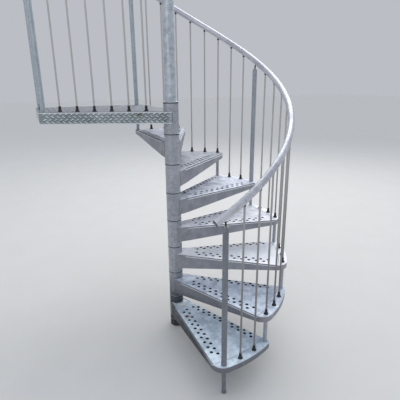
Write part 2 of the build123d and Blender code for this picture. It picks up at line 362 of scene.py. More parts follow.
def nut(shape, place, size):
    """Adds a hexagon nut on the local XY plane, with its washer and the bolt's end."""
    across, height = size
    corner, low = across / sqrt(3), NUT_WASHER
    sleeve(shape, corner * 0.5, across * 0.72, 0, low, 0.0002, place, 28)
    turned(shape, (
        (corner * 0.5, low), (corner * 0.9, low), (corner, low + 0.001), (corner, height),
        (corner * 0.88, height + 0.001),
    ), place, 6)
    bar(shape, corner * 0.53, low, height + 0.005, place, 0.0008, 16)


def rounded(points, radius, steps):
    """A path of points with its inner corners rounded."""
    path = [points[0]]
    for before, corner, after in zip(points, points[1:], points[2:]):
        back = (before - corner).normalized()
        ahead = (after - corner).normalized()
        half = back.angle(ahead) / 2
        centre = corner + (back + ahead).normalized() * radius / sin(half)
        first = corner + back * radius / tan(half) - centre
        last = corner + ahead * radius / tan(half) - centre
        path += [centre + first.length * first.slerp(last, i / steps) for i in range(steps + 1)]
    return path + [points[-1]]


# Plans of the treads


def edge_frame(edge, inset=0.0):
    """Where a tread's front or rear edge line starts, and its unit directions along and inward."""
    side, splay, turn = (-1, FRONT_SPLAY, 0) if edge == "front" else (1, REAR_SPLAY, STEP_ANGLE)
    along, left = headings(turn + side * splay)
    return headings(turn)[1] * side * (HUB_RADIUS - inset), along, -side * left


def corner_centre(edge, reach, radius, inset):
    """Centre of the round between an edge line and the outer arc."""
    start, along, inward = edge_frame(edge, inset)
    offset = start.dot(inward) + radius
    return along * sqrt((reach - radius) ** 2 - offset ** 2) + inward * offset


def crossing(centre, radius, reach):
    """Where a circle about centre crosses one of radius reach about the column, nearer the front."""
    away = centre.length
    turn = acos((away ** 2 + reach ** 2 - radius ** 2) / (2 * away * reach))
    return around(reach, atan2(centre.y, centre.x) - turn).to_2d()


def on_circle(start, along, radius):
    """Where a line leaves the circle of this radius about the column."""
    reach = start.dot(along)
    return start + along * (sqrt(reach ** 2 - start.length_squared + radius ** 2) - reach)


def sweep(centre, first, last, steps):
    """Points on a circle about centre from one point to another, with both."""
    a, b = first - centre, last - centre
    begin = atan2(a.y, a.x)
    turn = (atan2(b.y, b.x) - begin + pi) % (2 * pi) - pi
    return [centre + around(a.length, begin + turn * i / steps).to_2d() for i in range(steps + 1)]


AXIS = Vector((0, 0))
MIDDLE = around(1, STEP_ANGLE / 2).to_2d()


def along_middle(reach):
    """How far along a tread's middle a point of its cheeks lies, reach from the column."""
    return reach * cos(STEP_ANGLE / 2) - HUB_RADIUS * sin(STEP_ANGLE / 2)


TIP_DROP = 0.0006
TAPER_START = along_middle(HUB_RADIUS)
TAPER_END = along_middle(OUTER_RADIUS - FRONT_CORNER)
CHEEK_STATIONS = [LEDGE_START + 0.04 * i for i in range(16)]


def cheek_low(point):
    """Height of the cheeks' lower edge under a point of the plan."""
    share = (point.dot(MIDDLE) - TAPER_START) / (TAPER_END - TAPER_START)
    return -CHEEK_DEPTH + min(max(share, 0), 1) * (CHEEK_DEPTH - RIM_DEPTH)


def frame_side(edge, inset):
    """One cheek's line in plan, out from the hub and round its corner, as (point, height of its top)."""
    corner = (FRONT_CORNER if edge == "front" else REAR_CORNER) - inset
    reach = OUTER_RADIUS - inset
    start, along, inward = edge_frame(edge, inset)
    centre = corner_centre(edge, reach, corner, inset)
    touch = centre - inward * corner
    leave = centre * (reach / centre.length)
    tip = [start + along * CHEEK_START, start + along * LEDGE_START]
    cheek = [start + along * station for station in CHEEK_STATIONS]
    if edge == "front":
        cut = crossing(centre, corner, STRIP_RADIUS)
        cheek += sweep(centre, touch, cut, 5)
        rim = sweep(centre, cut, leave, 14)
    else:
        cut = on_circle(start, along, STRIP_RADIUS)
        cheek += [cut]
        rim = [cut] + sweep(centre, touch, leave, 12)
    parts = ((tip, -TIP_DROP), (cheek, -PLATE_STEP), (rim, -FLANGE))
    return [(point, top) for points, top in parts for point in points]


def frame_outline(inset):
    """A tread frame's plan, from the hub round the rim and back, given as in frame_side."""
    front, rear = frame_side("front", inset), frame_side("rear", inset)
    rim_arc = sweep(AXIS, front[-1][0], rear[-1][0], 48)[1:-1]
    return front + [(p, -FLANGE) for p in rim_arc] + rear[::-1]


def rim_outline(inset):
    """Plan of the flange on the rim, with its inner edge on the plate's fold line."""
    outer = [p for p, top in frame_outline(inset) if top == -FLANGE]
    return outer + sweep(AXIS, outer[-1], outer[0], 32)[1:-1]


def plate_outline(inset):
    """A tread plate's plan, counter-clockwise from the hub's front side."""
    hub = HUB_RADIUS + PLATE_CLEARANCE
    strip = STRIP_RADIUS - PLATE_CLEARANCE - inset
    from_edge = PLATE_LEDGE + inset
    corner = FRONT_CORNER - from_edge
    front, along, inward = edge_frame("front", from_edge)
    centre = corner_centre("front", OUTER_RADIUS - from_edge, corner, from_edge)
    on_strip = crossing(centre, corner, strip)
    rear, rear_along = edge_frame("rear", from_edge)[:2]
    front_hub, rear_hub = on_circle(front, along, hub), on_circle(rear, rear_along, hub)
    return [
        front_hub,
        *sweep(centre, centre - inward * corner, on_strip, 4),
        *sweep(AXIS, on_strip, on_circle(rear, rear_along, strip), 32)[1:],
        *sweep(AXIS, rear_hub, front_hub, 6)[:-1],
    ]


def lifted(points, z, place=IN_PLACE):
    """Points of a plan, raised to a height and put in place."""
    return [place @ Vector((*p, z)) for p in points]


def add_sheet(shape, z, outline, holes=(), place=IN_PLACE):
    """Adds a flat face that fills an outline and leaves its round, equal holes open."""
    loops = [outline, *holes]
    edges = []
    base = 0
    for loop in loops:
        edges += [(base + i, base + (i + 1) % len(loop)) for i in range(len(loop))]
        base += len(loop)
    points, _, triangles = delaunay_2d_cdt([p for loop in loops for p in loop], edges, [], 1, 1e-7)[:3]
    centres = [sum(hole, Vector((0, 0))) / len(hole) for hole in holes]
    open_to = (holes[0][0] - centres[0]).length * 0.98 if holes else 0
    kept = []
    for face in triangles:
        middle = sum((points[i] for i in face), Vector((0, 0))) / 3
        if not any((middle - centre).length < open_to for centre in centres):
            kept.append(face)
    shape.add(lifted(points, z, place), kept)


def follow(shape, outline, section, place=IN_PLACE, base=0.0, closed=True):
    """Adds a wall along outline(inset), by a section of (inset, height above base) pairs."""
    shape.add_loops([lifted(outline(inset), base + z, place) for inset, z in section], closed)


def round_edge(depth):
    """Section of a sheet's edge, rounded at the top, down to a depth."""
    return (EDGE_ROUND, 0), (EDGE_ROUND * 0.3, -EDGE_ROUND * 0.3), (0, -EDGE_ROUND), (0, -depth)


# Materials

DRIP_COLOUR = (0.62, 0.64, 0.66)
# Painted shade: zinc darkens towards the ground and towards the column, standing in for the shade on the
# lower stair
LOW_SHADE_COLOUR = (0.03, 0.036, 0.048)
LOW_SHADE_HEIGHTS = (0.16, 0.56)
LOW_SHADE_RADII = (0.60, 0.79)
LOW_SHADE_OUTSIDE = 0.40
GRAIN_SCALE = 160.0
DRIP_SCALE = (60, 60, 14)
# Heights over which the rods go from darker to lighter
ROD_DARKENING_HEIGHTS = (0.45, 1.55)


def fill(tree, node, inputs):
    """Feeds a node's inputs by their names."""
    for key, value in inputs.items():
        connect(tree, value, node.inputs[key.replace("_", " ")])


def add_node(tree, kind, **inputs):
    """Adds a shader node, by its type's name after ShaderNode, with its inputs."""
    made = tree.nodes.new(f"ShaderNode{kind}")
    fill(tree, made, inputs)
    return made


def connect(tree, value, socket):
    """Feeds a socket with a link, a colour or a number."""
    if isinstance(value, bpy.types.NodeSocket):
        tree.links.new(value, socket)
    elif isinstance(value, tuple) and len(value) == 3 and socket.type == "RGBA":
        socket.default_value = (*value, 1)
    else:
        socket.default_value = value


def computed(tree, kind, *values, **settings):
    """The result of a node with these settings, whose open inputs take the values in order."""
    made = add_node(tree, kind)
    for key, value in settings.items():
        setattr(made, key, value)
    for socket, value in zip([s for s in made.inputs if s.enabled], values):
        connect(tree, value, socket)
    return next(s for s in made.outputs if s.enabled)


def blend(tree, factor, first, second, mode="MIX"):
    """Mixes two colours."""
    return computed(tree, "Mix", factor, first, second, data_type="RGBA", blend_type=mode)


def spread(tree, value, low, high, to_low=0.0, to_high=1.0):
    """Stretches the part of a value between low and high over a new range, smoothly."""
    return computed(tree, "MapRange", value, low, high, to_low, to_high, interpolation_type="SMOOTHSTEP")


def object_place(tree, scale=(1, 1, 1)):
    """Coordinates in the stair's own frame, stretched by a scale."""
    coords = add_node(tree, "TexCoord")
    return add_node(tree, "Mapping", Vector=coords.outputs["Object"], Scale=scale).outputs["Vector"]


def height_of(tree, vector):
    """The Z part of a vector."""
    return add_node(tree, "SeparateXYZ", Vector=vector).outputs["Z"]


def speckle(tree, place, scale, detail=3.0, roughness=0.5):
    """A noise value."""
    made = add_node(tree, "TexNoise", Vector=place, Scale=scale, Detail=detail, Roughness=roughness)
    return made.outputs["Fac"]


def bump(tree, height, depth, strength, under=None):
    """A relief laid over another one."""
    made = add_node(tree, "Bump", Height=height, Distance=depth, Strength=strength)
    if under:
        connect(tree, under, made.inputs["Normal"])
    return made.outputs["Normal"]


def new_material(name):
    """A material and its node tree."""
    material = bpy.data.materials.new(name)
    material.use_nodes = True
    return material, material.node_tree


def shade(tree, **inputs):
    """Feeds a material's main shader."""
    fill(tree, tree.nodes["Principled BSDF"], inputs)


def stained(tree, colour, place, grit, spots):
    """A colour with ragged patches of other colours, given as (place, radius, colour)."""
    for spot, radius, tint in spots:
        away = computed(tree, "VectorMath", place, spot, operation="DISTANCE")
        ragged = blend(tree, 0.35, away, spread(tree, grit, 0.3, 0.7, 0, radius * 1.6))
        colour = blend(tree, spread(tree, ragged, radius * 0.4, radius, 0.85, 0), colour, tint)
    return colour


def shaded_low(tree, colour, place, strength):
    """A colour darkened with painted shade near the ground, less of it on the outside of the stair."""
    radius = computed(tree, "VectorMath", object_place(tree, (1, 1, 0)), operation="LENGTH")
    near_ground = spread(tree, height_of(tree, place), *LOW_SHADE_HEIGHTS, strength, 0)
    inside = spread(tree, radius, *LOW_SHADE_RADII, 1.0, LOW_SHADE_OUTSIDE)
    painted_shade = computed(tree, "Math", near_ground, inside, operation="MULTIPLY")
    return blend(tree, painted_shade, colour, LOW_SHADE_COLOUR)


def zinc(
    name, light, dark, patch=0.03, mottle=0.6, gloss=(0.36, 0.52), metallic=0.5, cloud_scale=7.0,
    wave=0.0, spots=(), low_shade=0.0,
):
    """Hot-dip zinc: crystal patches, cloudy mottling and a fine grain.

    light and dark are the two greys, patch the size of a crystal, mottle the strength of the
    crystals, cloud_scale the fineness of the mottling, wave the depth of the sheet's own
    unevenness, spots the patches of other colours, and the last argument the strength of the
    painted shade near the ground.
    """
    material, tree = new_material(name)
    place = object_place(tree)
    wander = add_node(tree, "TexNoise", Vector=place, Scale=1.4 / patch, Detail=2.0).outputs["Color"]
    bent = computed(tree, "VectorMath", wander, (patch * 0.5,) * 3, place, operation="MULTIPLY_ADD")
    crystal = add_node(tree, "TexVoronoi", Vector=bent, Scale=1 / patch).outputs["Color"]
    facet = add_node(tree, "SeparateColor", Color=crystal).outputs
    cloud = speckle(tree, place, cloud_scale, 6.0, 0.62)
    grit = speckle(tree, place, GRAIN_SCALE)
    clouded = blend(tree, spread(tree, cloud, 0.36, 0.64), dark, light)
    faceted = blend(tree, facet["Red"], dark, light)
    colour = blend(tree, 0.22, blend(tree, mottle, clouded, faceted), grit, mode="OVERLAY")
    streaks = speckle(tree, object_place(tree, DRIP_SCALE), 1.0, 4.0)
    colour = blend(tree, spread(tree, streaks, 0.60, 0.80, 0, 0.35), colour, DRIP_COLOUR)
    colour = stained(tree, colour, place, grit, spots)
    # Painted shade near the ground
    if low_shade:
        colour = shaded_low(tree, colour, place, low_shade)
    roughness = spread(tree, facet["Green"], 0, 1.0, *gloss)
    relief = bump(tree, speckle(tree, place, 9.0, 2.0), wave, 0.5) if wave else None
    relief = bump(tree, facet["Blue"], 0.0003, 0.25, relief)
    relief = bump(tree, grit, 0.0004, 0.35, relief)
    shade(tree, Base_Color=colour, Metallic=metallic, Roughness=roughness, Normal=relief)
    return material


def rod_metal():
    """Bare rods: a warm grey with long streaks, darker towards the bottom."""
    material, tree = new_material("rod_metal")
    streak = speckle(tree, object_place(tree, (220, 220, 6)), 1.0)
    height = height_of(tree, object_place(tree))
    dark_low = blend(tree, streak, (0.19, 0.187, 0.18), (0.33, 0.325, 0.312))
    light_high = blend(tree, streak, (0.44, 0.435, 0.42), (0.66, 0.65, 0.63))
    colour = blend(tree, spread(tree, height, *ROD_DARKENING_HEIGHTS), dark_low, light_high)
    roughness = spread(tree, streak, 0.3, 0.7, 0.28, 0.42)
    relief = bump(tree, streak, 0.0002, 0.4)
    shade(tree, Base_Color=colour, Metallic=0.25, Roughness=roughness, Normal=relief)
    return material


def dark_finish(name, dark, light, gloss, metallic=0.0):
    """A dark finish, a little dusty."""
    material, tree = new_material(name)
    dust = speckle(tree, object_place(tree), 90.0, 4.0)
    colour = blend(tree, spread(tree, dust, 0.5, 0.8), dark, light)
    roughness = spread(tree, dust, 0.3, 0.7, *gloss)
    relief = bump(tree, dust, 0.0003, 0.3)
    shade(tree, Base_Color=colour, Metallic=metallic, Roughness=roughness, Normal=relief)
    return material


TREAD_LIGHT, TREAD_DARK = (0.60, 0.66, 0.76), (0.33, 0.375, 0.45)
TREAD_LOOK = dict(mottle=0.25, cloud_scale=17.0, wave=0.0012, metallic=0.25, gloss=(0.42, 0.58))
# Painted light: a brightness factor for each tread's sheet, standing in for the reflections and shade that
# fall differently on each step
TREAD_LIGHTING_TONES = (
    (1.24, 1.30, 1.26), (1.27, 1.27, 1.27), (2.48, 2.26, 2.07), (1.89, 1.73, 1.67),
    (1.33, 1.23, 1.20), (0.73, 0.69, 0.67), (0.87, 0.83, 0.83),
)
SKIRT_STAIN = ((-0.037, -0.206, 1.62), 0.023)
# On the first tread: a pink rust spot, and a near-white patch beside the hub
FIRST_TREAD_SPOTS = (
    ((0.245, -0.013, RISE), 0.024, (0.46, 0.24, 0.20)),
    ((0.08, 0, RISE), 0.028, (0.94, 0.95, 0.90)),
)


def toned(colour, tone):
    """A colour multiplied by a tone, kept below white."""
    return tuple(min(c * t, 0.95) for c, t in zip(colour, tone))


TREAD_ZINCS = [
    zinc(
        f"tread_zinc_{level}", toned(TREAD_LIGHT, tone), toned(TREAD_DARK, tone),
        spots=FIRST_TREAD_SPOTS if level == 1 else (), **TREAD_LOOK,
    )
    for level, tone in enumerate(TREAD_LIGHTING_TONES, 1)
]
# Painted shade: near-black for the drop face of each plate's fold, standing in for its shadow
FOLD_SHADE_ZINC = zinc(
    "fold_shade_zinc", (0.10, 0.105, 0.12), (0.06, 0.065, 0.075), patch=0.02, mottle=0.4, metallic=0.1,
)
# Painted highlight: near-white for the ledges on the cheeks and the bands along the skirt's edges, with
# painted shade near the ground
LEDGE_HIGHLIGHT_ZINC = zinc(
    "ledge_highlight_zinc", (0.95, 0.97, 1.0), (0.82, 0.85, 0.90), patch=0.02, mottle=0.4, metallic=0.3,
    gloss=(0.28, 0.40), low_shade=0.74,
)
# Cheeks, hubs and collars darken near the ground with painted shade
CHEEK_ZINC = zinc("cheek_zinc", (0.385, 0.395, 0.435), (0.275, 0.285, 0.32), mottle=0.3, low_shade=0.96)
HUB_ZINC = zinc("hub_zinc", (0.50, 0.52, 0.57), (0.32, 0.34, 0.38), patch=0.016, low_shade=0.94)
COLLAR_ZINC = zinc("collar_zinc", (0.62, 0.65, 0.70), (0.46, 0.49, 0.54), patch=0.012, mottle=0.5, low_shade=0.6)
COLUMN_ZINC = zinc("column_zinc", (0.66, 0.71, 0.75), (0.40, 0.45, 0.50), patch=0.021, cloud_scale=26.0)
LANDING_ZINC = zinc(
    "landing_zinc", (0.36, 0.42, 0.43), (0.20, 0.24, 0.25), mottle=0.5,
    spots=((*SKIRT_STAIN, (0.10, 0.08, 0.06)),),
)
# The tears are lighter than the skirt: partly wear on their tops, partly a painted highlight
TEAR_WORN_AND_LIT_ZINC = zinc(
    "tear_worn_and_lit_zinc", (0.92, 0.96, 0.97), (0.50, 0.55, 0.57), patch=0.035, mottle=0.7,
    spots=((*SKIRT_STAIN, (0.26, 0.22, 0.16)),),
)
LANDING_TOP_ZINC = zinc(
    "landing_top_zinc", (0.27, 0.28, 0.313), (0.15, 0.162, 0.184), patch=0.02, mottle=0.4, metallic=0.25,
    cloud_scale=40.0,
)
POST_ZINC = zinc("post_zinc", (0.26, 0.28, 0.315), (0.175, 0.19, 0.22), patch=0.007, mottle=0.7)
MIDDLE_POST_ZINC = zinc("middle_post_zinc", (0.46, 0.49, 0.54), (0.33, 0.355, 0.395), patch=0.008)
UPPER_POST_ZINC = zinc("upper_post_zinc", (0.52, 0.58, 0.62), (0.38, 0.43, 0.47), patch=0.01)
WELD_ZINC = zinc("weld_zinc", (0.56, 0.54, 0.48), (0.30, 0.28, 0.24), patch=0.004, mottle=0.9)
RAIL_ZINC = zinc("rail_zinc", (0.70, 0.715, 0.765), (0.47, 0.485, 0.535), mottle=0.35, gloss=(0.26, 0.36))
ROD_METAL = rod_metal()
DARK_STEEL = dark_finish("dark_steel", (0.05, 0.045, 0.04), (0.14, 0.12, 0.11), (0.35, 0.55), 0.6)
BLACK_PLASTIC = dark_finish("black_plastic", (0.012, 0.012, 0.014), (0.05, 0.05, 0.05), (0.30, 0.55))
# Near-black with a little dust: painted shade in the holes' throats, under the hub collars, under the
# skirt's tears and at its lapped end, and the dark joints at the tread rims
SHADE_AND_GRIME = dark_finish("shade_and_grime", (0.01, 0.01, 0.012), (0.035, 0.033, 0.03), (0.7, 0.9))

FINISHES = dict(
    hub_zinc=HUB_ZINC, column_zinc=COLUMN_ZINC, cheek_zinc=CHEEK_ZINC, tread_zinc=TREAD_ZINCS[0],
    landing_zinc=LANDING_ZINC, post_zinc=POST_ZINC, rod_steel=ROD_METAL, rail_steel=RAIL_ZINC,
    black_plastic=BLACK_PLASTIC,
)
for subpart in frame["record"]["subparts"]:
    node = frame["nodes"][subpart["node"]]
    node.data.materials.clear()
    node.data.materials.append(FINISHES[subpart["material_slot"]])


# Column


def column():
    """Foot plate, socket, hubs with their collars, near-black seam rings under the collars painted as
    shadow, core tube and lid.
    """
    foot, socket, pipe, lid, hubs, top_hub, collars, seam_shadows = shapes(8)
    sleeve(foot, FOOT_PLATE_BORE, FOOT_PLATE_RADIUS, 0, FOOT_PLATE_TOP, 0.0015, count=64)
    build("foot_disc", foot, HUB_ZINC, "hub_zinc", "base_plate")
    sleeve(socket, HUB_BORE, HUB_RADIUS, FOOT_PLATE_TOP, HUB_ABOVE, 0.0015, count=64)
    build("foot_socket", socket, HUB_ZINC, "hub_zinc", "base_socket")
    joints = [level * RISE + HUB_ABOVE for level in range(TREAD_COUNT + 2)]
    for joint, above in zip(joints, joints[1:]):
        hub = top_hub if above == joints[-1] else hubs
        sleeve(hub, HUB_BORE, HUB_RADIUS, joint + COLLAR_HEIGHT, above, 0.0012)
    for joint in joints:
        top = joint + COLLAR_HEIGHT
        sleeve(collars, HUB_BORE, COLLAR_RADIUS, joint, top, 0.0014)
        # A near-black ring just below each collar, painted as the joint's shadow
        low, high = joint - SEAM_BELOW, joint + SEAM_ABOVE
        sleeve(seam_shadows, HUB_BORE, HUB_RADIUS + SEAM_PROUD, low, high, 0.0003)
    build("hub_sleeves", hubs, HUB_ZINC, "hub_zinc", "tread_hubs")
    build("landing_hub_sleeve", top_hub, HUB_ZINC, "hub_zinc", "landing_hub")
    build("collar_rings", collars, COLLAR_ZINC, "hub_zinc", "hub_collars")
    build("seam_shadow_rings", seam_shadows, SHADE_AND_GRIME, "black_plastic")
    sleeve(pipe, CORE_BORE, CORE_RADIUS, FOOT_PLATE_TOP, CORE_TOP, 0.001)
    build("core_pipe", pipe, COLUMN_ZINC, "column_zinc", "core_tube")
    low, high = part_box("column_cap")
    reach = CORE_RADIUS + LID_LAP
    turned(lid, (
        (reach - 0.0006, low.z), (reach, low.z + 0.0008), (reach, low.z + 0.0022),
        (reach - 0.0012, low.z + 0.0036), (reach * 0.8, high.z - 0.001), (reach * 0.4, high.z - 0.0002),
        (0.002, high.z),
    ), count=64)
    build("column_lid", lid, COLUMN_ZINC, "column_zinc", "column_cap", smooth=60)


# Treads

HOLE_SIDES = 20
COLLAR_DEPTH = 0.013
FOLD_SHEET = 0.0014
FOLD_DEPTH = 0.0024
EASE = 0.001
JOINT_PROUD = 0.0002
JOINT_SHARE = 0.0014
WELD_INSETS = (0.0005, SHEET + 0.001)
WELD_START = 0.004
WELD_END = -0.005

# Sections as (inset, height) pairs. For a hole, the inset is measured outward from its edge.
HOLE_RELIEF = ((0.0014, 0), (0.001, 0.0006), (0.0006, 0.001), (0.0002, 0.001), (0, 0.0006), (0, -0.0006))
HOLE_THROAT = ((0, -0.0006), (-0.0002, -0.002), (-0.001, -COLLAR_DEPTH))
HOLE_COLLAR = ((-0.001, -COLLAR_DEPTH), (0, -COLLAR_DEPTH), (0.001, -PLATE_SHEET))
FOLD_DROP = ((0, -FOLD_DEPTH), (0, -PLATE_STEP), (FOLD_SHEET, -PLATE_STEP), (FOLD_SHEET, -PLATE_SHEET))
LEDGE_EDGE = (
    (0, -0.0042), (-0.0001, -0.004), (-0.0001, -0.0009), (0.0009, 0.0002), (PLATE_LEDGE - 0.0002, 0.0002),
)

# Section of a tread's frame as (inset, edge, height above that edge)
FRAME_SECTION = (
    (EASE, "top", 0), (0, "top", -EASE), (0, "low", EASE), (EASE, "low", 0),
    (SHEET - EASE, "low", 0), (SHEET, "low", EASE), (SHEET, "top", 0), (EASE, "top", 0),
)


def hole_spots():
    """Centres of a tread's perforations, in the tread's own plan."""
    spots = []
    for edge, depth, first, count in HOLE_ROWS:
        start, along, inward = edge_frame(edge)
        spots += [start + inward * depth + along * (first + HOLE_PITCH * i) for i in range(count)]
    return spots


def hole_ring(spot, out):
    """A circle round a perforation in plan, out from its edge."""
    return [spot + around(HOLE_RADIUS + out, turn).to_2d() for turn in turns(HOLE_SIDES)]


def tread_plate(level, place):
    """A folded plate with raised perforations, and the throats of the holes, painted near-black as shade.
    """
    spots = hole_spots()
    plate, drop, throats = shapes(3)
    for inset, (out, z) in ((EDGE_ROUND, HOLE_RELIEF[0]), (FOLD_SHEET, HOLE_COLLAR[-1])):
        add_sheet(plate, z, plate_outline(inset), [hole_ring(spot, out) for spot in spots], place)
    for spot in spots:
        ring = partial(hole_ring, spot)
        follow(plate, ring, HOLE_RELIEF, place)
        # Throats painted near-black as the shade inside the holes
        follow(throats, ring, HOLE_THROAT, place)
        follow(plate, ring, HOLE_COLLAR, place)
    follow(plate, plate_outline, round_edge(FOLD_DEPTH), place)
    # The fold's drop face, painted dark as shade
    follow(drop, plate_outline, FOLD_DROP, place)
    build(f"tread_fold_shades_{level}", drop, FOLD_SHADE_ZINC, "tread_zinc")
    build(f"tread_top_{level}", plate, TREAD_ZINCS[level - 1], "tread_zinc", f"tread_plate_{level}")
    build(f"hole_throats_{level}", throats, SHADE_AND_GRIME, "tread_zinc")


def tread_frame(level, place):
    """The cheeks and the rim of a tread, in one bent sheet, and the ledges on them, painted near-white as a
    highlight.
    """
    wall, highlight_ledges = shapes(2)
    wall.add_strip([[
        place @ Vector((*p, (top if edge == "top" else cheek_low(p)) + above))
        for p, top in frame_outline(inset)
    ] for inset, edge, above in FRAME_SECTION])
    build(f"tread_frame_{level}", wall, CHEEK_ZINC, "cheek_zinc", f"tread_{level}")
    for edge in EDGES:
        highlight_ledges.add_loops([
            [place @ Vector((*p, top + z)) for p, top in frame_side(edge, inset)[1:] if top != -FLANGE]
            for inset, z in LEDGE_EDGE
        ], closed=False)
    build(f"tread_ledge_highlights_{level}", highlight_ledges, LEDGE_HIGHLIGHT_ZINC, "tread_zinc")


def tread_rim(level, place):
    """The flange on a tread's rim, and the dark joint between it and the plate."""
    flange, joint = shapes(2)
    for inset, z in ((EDGE_ROUND, 0), (0, -FLANGE)):
        add_sheet(flange, z, rim_outline(inset), place=place)
    follow(flange, rim_outline, round_edge(FLANGE), place)
    build(f"tread_rim_{level}", flange, TREAD_ZINCS[level - 1], "tread_zinc")
    front, rear = (next(p for p, top in frame_side(edge, 0) if top == -FLANGE) for edge in EDGES)
    line = sweep(AXIS, front, rear, 40)[1:-1]
    joint.add_loops([
        lifted([p * (1 + share) for p in line], JOINT_PROUD, place) for share in (-JOINT_SHARE, JOINT_SHARE)
    ], closed=False)
    build(f"tread_joint_{level}", joint, SHADE_AND_GRIME, "tread_zinc")


def tread_welds(level, place):
    """The beads of weld on both faces of the cheeks, at the hub."""
    welds = Shape()
    for edge in EDGES:
        start, along, inward = edge_frame(edge)
        for offset in WELD_INSETS:
            spot = start + along * (CHEEK_START + 0.001) + inward * offset
            heights = (cheek_low(spot) + WELD_START, WELD_END)
            weld_bead(welds, *(place @ Vector((*spot, z)) for z in heights))
    build(f"tread_welds_{level}", welds, WELD_ZINC, "cheek_zinc", smooth=60)


# Posts, rods and their fittings

STAIR_POSTS = {
    "first_post": 0, "middle_post": MIDDLE_POST_TREADS * STEP_ANGLE, "landing_post": LANDING_ANGLE,
}
GUARD_POSTS = ("guard_end_post", "guard_wall_post")

# Tips of the rods as (radius, low end, high end), measured from the rail's underside
ROD_TIP = (0.0078, -0.011, 0.006)
GUARD_ROD_TIP = (0.0078, -0.009, 0.004)
TIP_EASE = 0.0015

POST_FINISHES = {"first_post": POST_ZINC, "middle_post": MIDDLE_POST_ZINC}
POST_CAP = (
    (POST_RADIUS - 0.0006, 0), (POST_RADIUS, 0.0006), (POST_RADIUS - 0.0004, 0.0022),
    (POST_RADIUS - 0.0022, 0.0036), (POST_RADIUS - 0.006, 0.0046), (PIN_RADIUS, 0.005),
)
SUNK = 0.001
UNDERSIDE = Matrix.Rotation(pi, 4, "X")


def rail_normal(angle):
    """The direction square to the handrail, up and downhill, at an angle round the column."""
    uphill = around(1, angle + pi / 2)
    return Vector((0, 0, cos(SLOPE))) - uphill * sin(SLOPE)


def posts():
    """The thick posts with their welded caps, and the pins that carry the rails."""
    caps, beads, pins = shapes(3)
    for name in (*STAIR_POSTS, *GUARD_POSTS):
        low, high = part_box(name)
        spot = Vector(((low.x + high.x) / 2, (low.y + high.y) / 2, 0))
        top = spot + UP * high.z
        post = Shape()
        bar(post, POST_RADIUS, low.z, high.z, upright(spot), 0.0006, 48)
        build(f"{name}_tube", post, POST_FINISHES.get(name, UPPER_POST_ZINC), "post_zinc", name)
        turned(caps, POST_CAP, upright(top))
        round_bead(beads, top + UP * 0.001, POST_RADIUS - 0.0014, 0.0014)
        round_bead(beads, top + UP * 0.0055, PIN_RADIUS + 0.0005, 0.0018)
        round_bead(beads, spot + UP * (low.z + 0.0012), POST_RADIUS, 0.0016)
        if name in STAIR_POSTS:
            angle = STAIR_POSTS[name]
            bend = around(ROD_CIRCLE, angle, rail_z(angle) - (RAIL_RADIUS + PIN_REACH) / cos(SLOPE))
            path = rounded([top, bend, bend + rail_normal(angle) * (PIN_REACH + SUNK)], PIN_BEND, 10)
        else:
            path = [top, spot + UP * (GUARD_RAIL_Z - RAIL_RADIUS + SUNK)]
        tube(pins, path, PIN_RADIUS, 20)
    build("post_tops", caps, POST_ZINC, "post_zinc", "post_caps", smooth=50)
    build("post_beads", beads, WELD_ZINC, "post_zinc", smooth=60)
    build("rail_pins", pins, DARK_STEEL, "rod_steel", smooth=60)


def rods():
    """The thin rods, and the tips that hold them to the rails."""
    tips = Shape()
    for level in LEVELS:
        shape = Shape()
        for step in (k for k in rod_steps if k // TREAD_RODS == level - 1):
            spot = rod_spot(step)
            contact = rail_z(step * step_turn) - RAIL_RADIUS / cos(SLOPE)
            bar(shape, ROD_RADIUS, 0, contact - spot.z + SUNK, upright(spot))
            bar(tips, *ROD_TIP, upright(Vector((*spot.xy, contact))), TIP_EASE, 20)
        build(f"stair_rods_{level}", shape, ROD_METAL, "rod_steel", f"balusters_{level}")
    shape = Shape()
    contact = RAIL_HEIGHT - RAIL_RADIUS
    for spot in guard_spots:
        bar(shape, ROD_RADIUS, 0, contact + SUNK, upright(spot))
        bar(tips, *GUARD_ROD_TIP, upright(spot + UP * contact), TIP_EASE, 20)
    build("landing_rods", shape, ROD_METAL, "rod_steel", "guard_balusters")
    build("rod_tips", tips, DARK_STEEL, "rod_steel")


FOOT_PROFILE = (
    (0.0062, 0), (0.0148, 0), (0.015, 0.0006), (0.015, 0.0034), (0.0146, 0.0042),
    (0.0128, 0.0062), (0.0108, 0.0102), (0.0096, 0.015), (0.0088, 0.021), (0.0085, 0.027),
    (0.0085, 0.0345), (0.008, 0.036), (0.0062, 0.036), (0.0062, 0),
)


def feet(name, spots, replaced):
    """Flared plastic feet at the bottoms of rods."""
    shape = Shape()
    for spot in spots:
        turned(shape, FOOT_PROFILE, upright(spot), 28, capped=False)
    build(name, shape, BLACK_PLASTIC, "black_plastic", replaced)


def washer(shape, spot, z):
    """Adds a washer of a spacer tube at a height above a spot."""
    reach = SPACER_RADIUS + WASHER_LAP
    sleeve(shape, WASHER_BORE, reach, z, z + WASHER_HEIGHT, 0.0003, upright(spot), 40)


def nut_under(shape, spot, size):
    """Adds a nut on the underside of the flange whose top is at a spot."""
    nut(shape, upright(spot - UP * FLANGE) @ UNDERSIDE, size)


